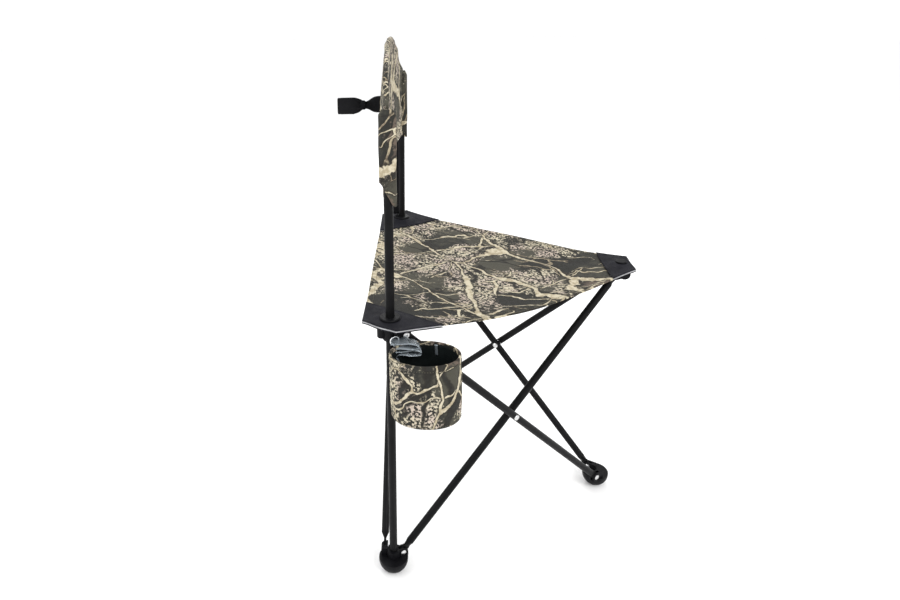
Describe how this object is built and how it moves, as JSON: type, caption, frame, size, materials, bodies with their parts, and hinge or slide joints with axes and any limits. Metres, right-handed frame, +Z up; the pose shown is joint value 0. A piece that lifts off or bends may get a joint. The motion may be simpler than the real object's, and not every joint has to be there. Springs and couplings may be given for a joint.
{
  "type": "three leg stool",
  "caption": "Folding tripod stool: crossed black tube frame, camouflage cloth seat and sling backrest on upright posts, with a hanging cup holder.",
  "frame": {"origin": "on the floor, under the middle of the open stool's bounding box", "axes": "+Z up, front corner of the seat towards -Y, backrest towards +Y, cup holder on the left at -X"},
  "size_m": [0.5424, 0.4739, 0.7916],
  "materials": {
    "black_tube": "satin black powder coat",
    "black_plastic": "moulded, fine grain",
    "rivet_steel": "plain zinc",
    "bright_steel": "bright nickel",
    "camouflage_cloth": "printed oxford weave",
    "black_cloth": "heavy plain weave",
    "black_webbing": "ribbed webbing",
    "grey_webbing": "shiny woven tape",
    "black_lining": "thin coated cloth"
  },
  "bodies": {
    "left_leg": {"left_post": "black_tube", "left_post_cap": "black_plastic", "left_foot": "black_plastic", "left_foot_rivets": "rivet_steel", "backrest_panel": "camouflage_cloth", "closure_strap": "black_webbing"},
    "inner_left_front": {"inner_tube_left_front": "black_tube", "crossing_rivet_left_front": "rivet_steel", "crossing_washer_left_front": "bright_steel"},
    "outer_left_front": {"outer_tube_left_front": "black_tube"},
    "inner_front_right": {"inner_tube_front_right": "black_tube", "crossing_rivet_front_right": "rivet_steel", "crossing_washer_front_right": "bright_steel"},
    "outer_front_right": {"outer_tube_front_right": "black_tube"},
    "inner_right_left": {"inner_tube_right_left": "black_tube", "crossing_rivet_right_left": "rivet_steel", "crossing_washer_right_left": "bright_steel"},
    "outer_right_left": {"outer_tube_right_left": "black_tube"},
    "front_foot": {"front_foot": "black_plastic", "front_foot_rivets": "rivet_steel"},
    "right_leg": {"right_post": "black_tube", "right_post_cap": "black_plastic", "right_foot": "black_plastic", "right_foot_rivets": "rivet_steel", "carry_strap": "black_webbing"},
    "left_top": {"left_collar": "black_plastic", "left_collar_rivets": "rivet_steel", "seat_patch_left": "black_cloth", "seat_grommet_left": "black_plastic", "cup_ring": "bright_steel"},
    "right_top": {"right_collar": "black_plastic", "right_collar_rivets": "rivet_steel", "seat_patch_right": "black_cloth", "seat_grommet_right": "black_plastic"},
    "front_top": {"front_joint": "black_plastic", "front_joint_rivets": "rivet_steel", "seat_patch_front": "black_cloth", "seat_stud_front": "black_plastic"},
    "seat_left": {"seat_cloth_left": "camouflage_cloth"},
    "seat_right": {"seat_cloth_right": "camouflage_cloth"},
    "seat_front": {"seat_cloth_front": "camouflage_cloth"},
    "cup": {"cup_shell": "camouflage_cloth", "cup_lining": "black_lining", "cup_binding": "camouflage_cloth", "cup_hanger_tab": "grey_webbing"}
  },
  "joints": [
    {"name": "fold", "type": "hinge", "parent": "left_leg", "child": "inner_left_front", "pos_m": [-0.18482, 0.13129, 0.0296], "axis": [-0.866, -0.5, 0], "range_deg": [0, 36], "deforming": ["backrest_panel", "closure_strap", "carry_strap", "seat_patch_left", "seat_patch_right", "seat_patch_front"]},
    {"name": "left_front_cross", "type": "hinge", "parent": "inner_left_front", "child": "outer_left_front", "pos_m": [-0.09262, -0.04122, 0.2281], "axis": [-0.866, -0.5, 0], "range_deg": [-72, 0]},
    {"name": "front_foot_pivot", "type": "hinge", "parent": "outer_left_front", "child": "front_foot", "pos_m": [-0.00041, -0.21372, 0.0296], "axis": [-0.866, -0.5, 0], "range_deg": [0, 36]},
    {"name": "left_collar_pivot", "type": "hinge", "parent": "outer_left_front", "child": "left_top", "pos_m": [-0.19591, 0.12489, 0.4266], "axis": [-0.866, -0.5, 0], "range_deg": [0, 36]},
    {"name": "front_joint_pivot", "type": "hinge", "parent": "inner_left_front", "child": "front_top", "pos_m": [0.01068, -0.20732, 0.4266], "axis": [-0.866, -0.5, 0], "range_deg": [-36, 0]},
    {"name": "back_fold", "type": "hinge", "parent": "left_leg", "child": "outer_right_left", "pos_m": [-0.1761, 0.1592, 0.0296], "axis": [0, -1, 0], "range_deg": [0, 36]},
    {"name": "right_left_cross", "type": "hinge", "parent": "outer_right_left", "child": "inner_right_left", "pos_m": [0.0194, 0.1528, 0.2281], "axis": [0, -1, 0], "range_deg": [-72, 0]},
    {"name": "right_foot_pivot", "type": "hinge", "parent": "inner_right_left", "child": "right_leg", "pos_m": [0.2149, 0.1464, 0.0296], "axis": [0, -1, 0], "range_deg": [0, 36]},
    {"name": "right_collar_pivot", "type": "hinge", "parent": "outer_right_left", "child": "right_top", "pos_m": [0.2149, 0.1592, 0.4266], "axis": [0, -1, 0], "range_deg": [-36, 0]},
    {"name": "front_right_fold", "type": "hinge", "parent": "front_foot", "child": "inner_front_right", "pos_m": [0.02812, -0.20732, 0.0296], "axis": [0.866, -0.5, 0], "range_deg": [0, 36]},
    {"name": "front_right_cross", "type": "hinge", "parent": "inner_front_right", "child": "outer_front_right", "pos_m": [0.13142, -0.04122, 0.2281], "axis": [0.866, -0.5, 0], "range_deg": [-72, 0]},
    {"name": "seat_left_drop", "type": "hinge", "parent": "left_top", "child": "seat_left", "pos_m": [-0.16159, 0.12795, 0.4401], "axis": [0.5, 0.866, 0], "range_deg": [0, 81.4], "deforming": ["seat_cloth_left"]},
    {"name": "seat_right_drop", "type": "hinge", "parent": "right_top", "child": "seat_right", "pos_m": [0.20039, 0.12795, 0.4401], "axis": [0.5, -0.866, 0], "range_deg": [0, 81.4], "deforming": ["seat_cloth_right"]},
    {"name": "seat_front_drop", "type": "hinge", "parent": "front_top", "child": "seat_front", "pos_m": [0.0194, -0.18903, 0.4381], "axis": [-1, 0, 0], "range_deg": [0, 80.6], "deforming": ["seat_cloth_front"]},
    {"name": "cup_swing", "type": "hinge", "parent": "left_top", "child": "cup", "pos_m": [-0.2056, 0.1097, 0.4376], "axis": [-0.5, 0.866, 0], "range_deg": [0, 30]}
  ],
  "couplings": [
    {"joint": "left_front_cross", "follows": "fold", "ratio": -2},
    {"joint": "front_foot_pivot", "follows": "fold", "ratio": 1},
    {"joint": "left_collar_pivot", "follows": "fold", "ratio": 1},
    {"joint": "front_joint_pivot", "follows": "fold", "ratio": -1},
    {"joint": "back_fold", "follows": "fold", "ratio": 1},
    {"joint": "right_left_cross", "follows": "fold", "ratio": -2},
    {"joint": "right_foot_pivot", "follows": "fold", "ratio": 1},
    {"joint": "right_collar_pivot", "follows": "fold", "ratio": -1},
    {"joint": "front_right_fold", "follows": "fold", "ratio": 1},
    {"joint": "front_right_cross", "follows": "fold", "ratio": -2},
    {"joint": "seat_left_drop", "follows": "fold", "ratio": 2.2611},
    {"joint": "seat_right_drop", "follows": "fold", "ratio": 2.2611},
    {"joint": "seat_front_drop", "follows": "fold", "ratio": 2.2389}
  ]
}
